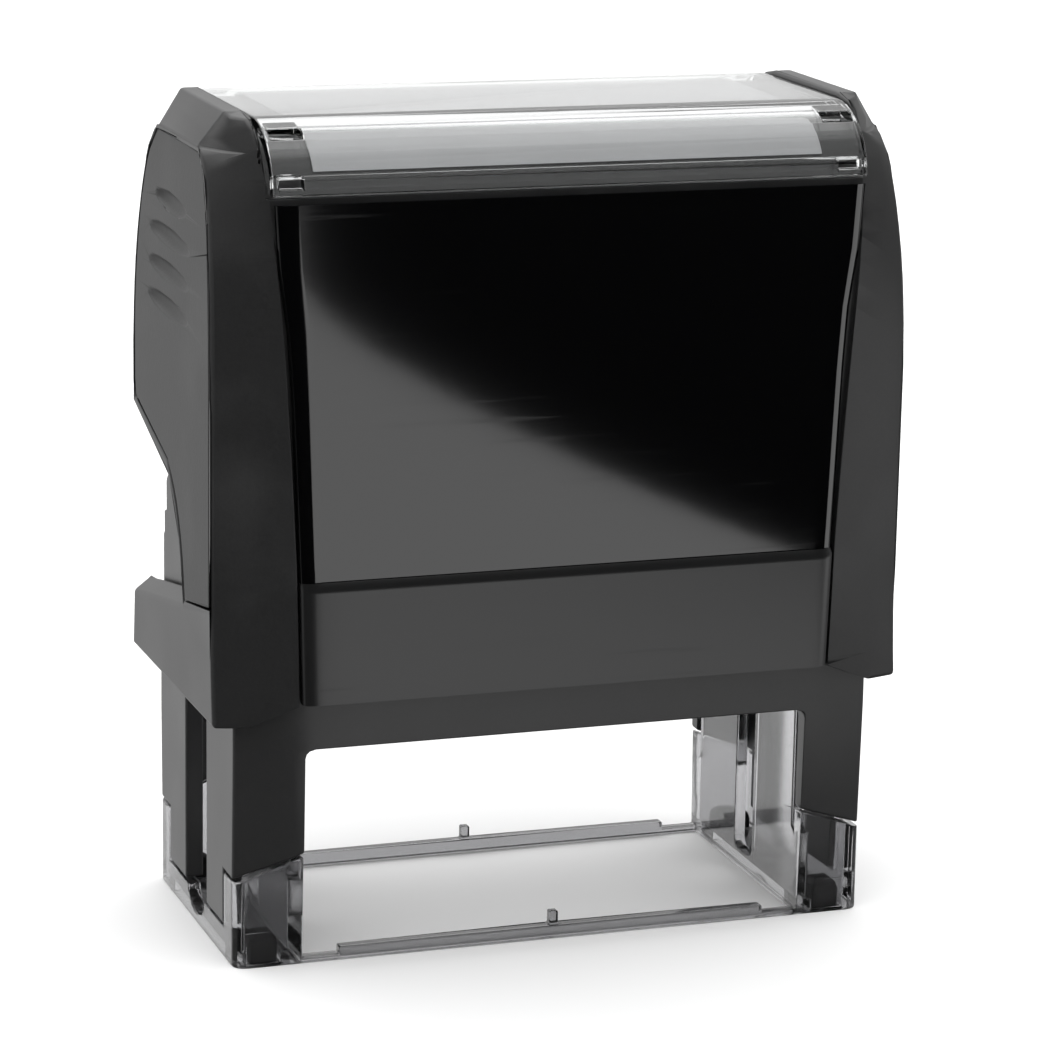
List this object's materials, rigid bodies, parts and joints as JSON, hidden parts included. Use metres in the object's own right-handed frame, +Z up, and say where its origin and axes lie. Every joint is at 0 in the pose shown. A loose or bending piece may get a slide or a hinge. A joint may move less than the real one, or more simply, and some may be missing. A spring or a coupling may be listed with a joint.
{
  "type": "self inking stamp",
  "caption": "Self-inking hand stamp: a sprung black bow slides over a window frame on a clear foot while the text die flips from ink pad to paper.",
  "frame": {"origin": "middle of the footprint, on the table the clear foot stands on", "axes": "+Z up, +X along the printed lines, -Y the front with the large panel"},
  "size_m": [0.0698, 0.0364, 0.0819],
  "materials": {
    "black_plastic": "fine textured black moulded plastic",
    "gloss_black": "polished black moulded plastic",
    "grip_plastic": "soft matt dark grey moulded plastic",
    "smoke_clear": "smoke-tinted clear moulded plastic",
    "clear_plastic": "clear moulded plastic",
    "rubber_black": "matt black rubber",
    "spring_steel": "drawn spring wire",
    "index_card": "light grey card, blank",
    "button_plastic": "satin red moulded plastic",
    "ink_felt": "felt soaked in black ink",
    "foam": "fine closed-cell foam",
    "die_rubber": "laser-cut red stamp rubber, inked"
  },
  "bodies": {
    "base": {"base_frame": "black_plastic", "clear_foot": "smoke_clear", "anti_slip_pad_front_left": "rubber_black", "anti_slip_pad_front_right": "rubber_black", "anti_slip_pad_back_left": "rubber_black", "anti_slip_pad_back_right": "rubber_black", "main_spring": "spring_steel"},
    "bow": {"bow": "black_plastic", "grip_inlay_left": "grip_plastic", "grip_inlay_right": "grip_plastic", "front_panel": "gloss_black", "back_panel": "gloss_black", "index_card": "index_card"},
    "clear_cap": {"clear_cap": "clear_plastic"},
    "lock_button_left": {"lock_button_left": "button_plastic"},
    "lock_button_right": {"lock_button_right": "button_plastic"},
    "ink_cartridge": {"cartridge_tray": "black_plastic", "ink_pad": "ink_felt"},
    "die": {"die_carrier": "black_plastic", "die_plate": "black_plastic", "die_foam": "foam", "rubber_die": "die_rubber"}
  },
  "joints": [
    {"name": "bow_press", "type": "slide", "parent": "base", "child": "bow", "axis": [0, 0, -1], "range_m": [0, 0.0225], "stiffness_N_per_m": 400, "springref_m": -0.02, "deforming": ["main_spring"]},
    {"name": "die_flip", "type": "hinge", "parent": "bow", "child": "die", "pos_m": [0, 0, 0.0267], "axis": [1, 0, 0], "range_deg": [0, 180]},
    {"name": "cap_lift", "type": "slide", "parent": "bow", "child": "clear_cap", "axis": [0, 0, 1], "range_m": [0, 0.014]},
    {"name": "lock_left", "type": "slide", "parent": "bow", "child": "lock_button_left", "axis": [0, -1, 0], "range_m": [0, 0.0015], "stiffness_N_per_m": 200, "springref_m": -0.0015},
    {"name": "lock_right", "type": "slide", "parent": "bow", "child": "lock_button_right", "axis": [0, -1, 0], "range_m": [0, 0.0015], "stiffness_N_per_m": 200, "springref_m": -0.0015},
    {"name": "cartridge_slide", "type": "slide", "parent": "base", "child": "ink_cartridge", "axis": [0, 1, 0], "range_m": [0, 0.03]}
  ],
  "couplings": [
    {"joint": "die_flip", "follows": "bow_press", "rad_per_m": 139.6}
  ]
}
